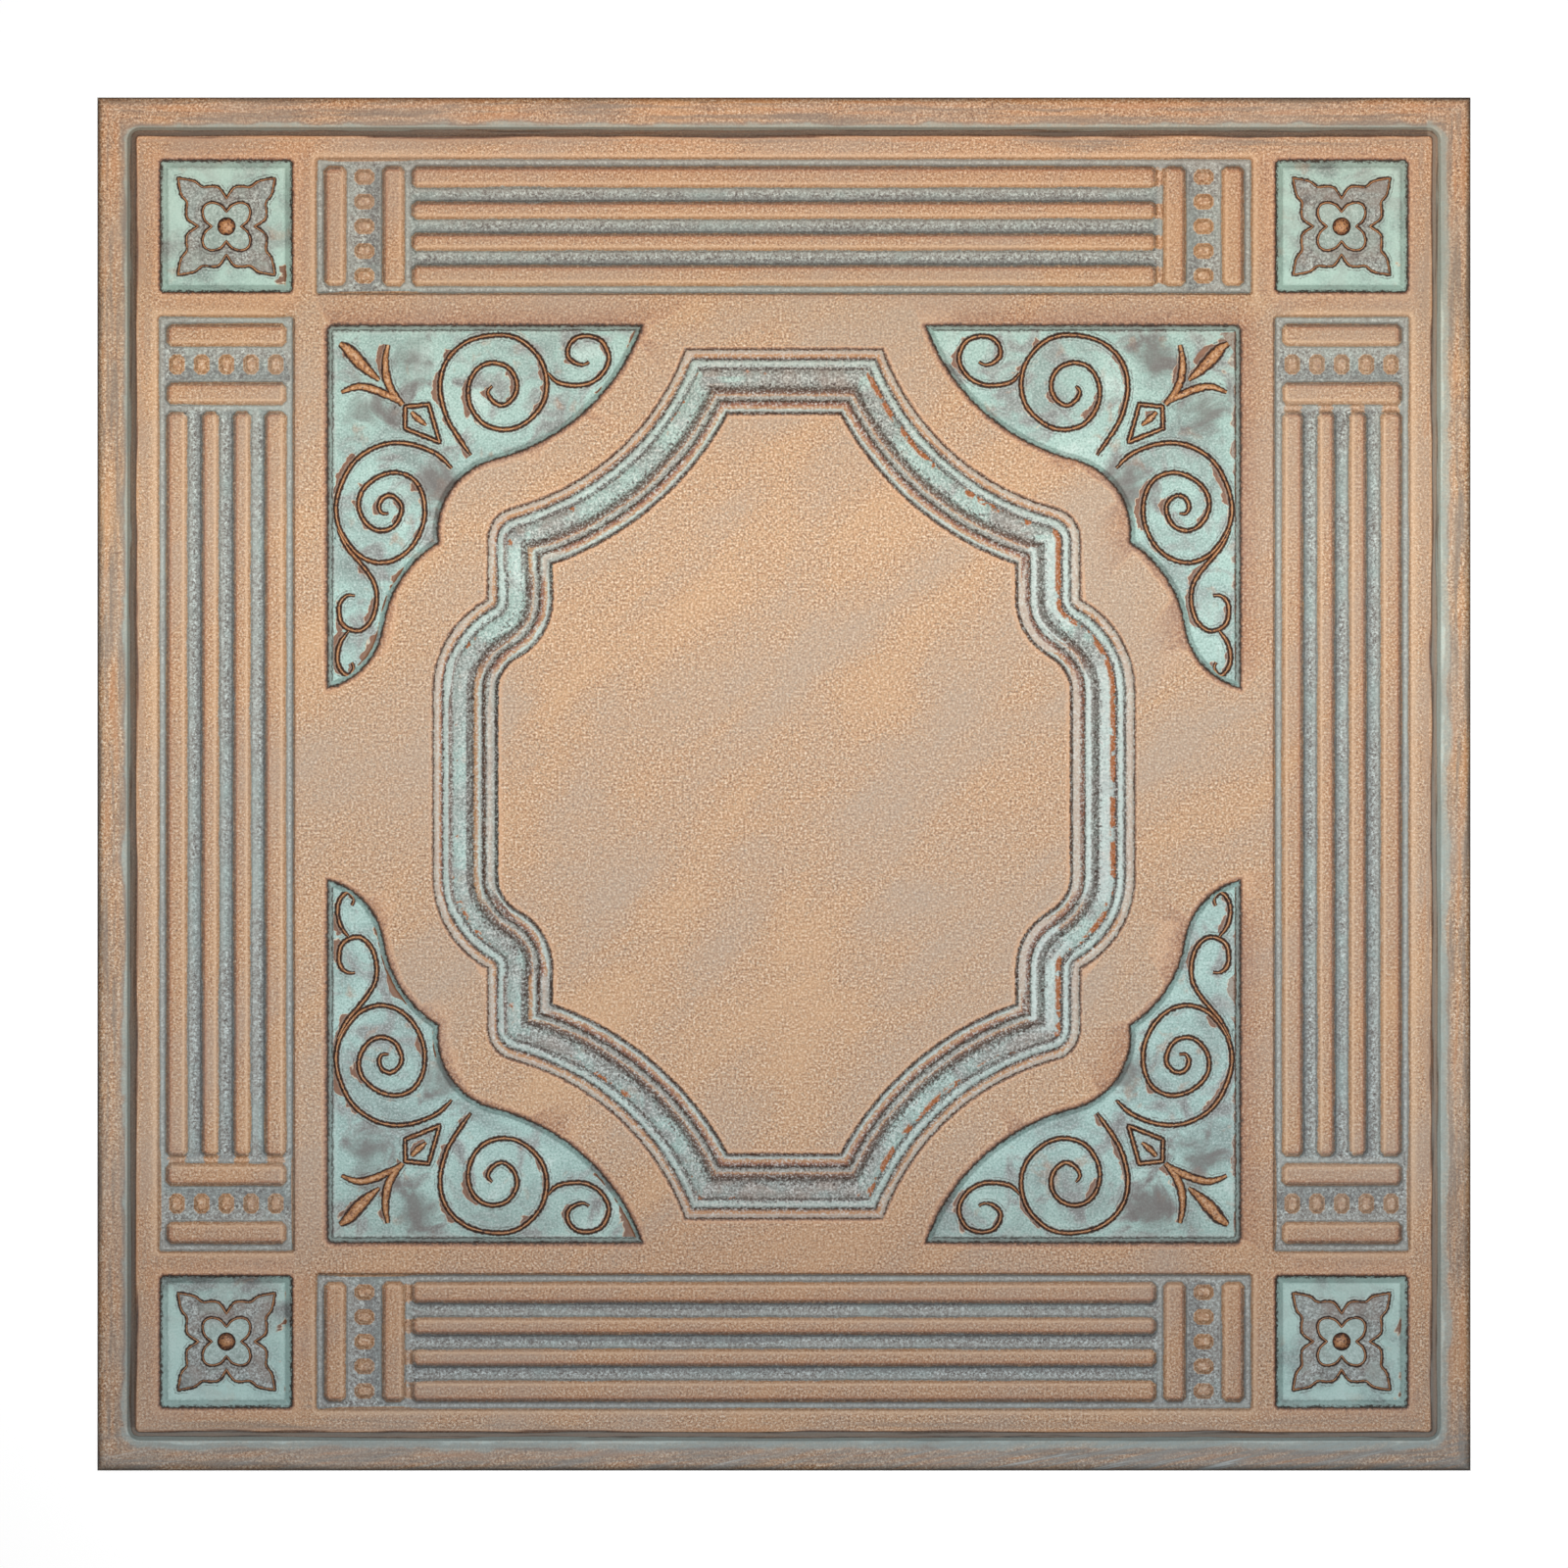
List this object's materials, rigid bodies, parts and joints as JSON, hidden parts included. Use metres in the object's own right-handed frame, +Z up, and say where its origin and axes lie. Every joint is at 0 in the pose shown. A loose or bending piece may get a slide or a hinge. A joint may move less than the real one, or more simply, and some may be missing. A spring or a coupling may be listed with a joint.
{
  "type": "faux tin ceiling tile",
  "caption": "Square lay-in ceiling tile, one thermoformed plastic sheet with a flange, fluted border panels, corner rosettes, scroll spandrels and a stepped central frame.",
  "frame": {"origin": "middle of the tile, on the back of its flange", "axes": "+Z up, out of the room face; +X and +Y along the sides, the longer way of the central frame along Y"},
  "size_m": [0.603, 0.603, 0.01],
  "materials": {
    "aged_copper_finish": "hand-brushed copper paint with verdigris in the hollows, satin"
  },
  "bodies": {
    "root": {"ceiling_tile": "aged_copper_finish"}
  },
  "joints": []
}
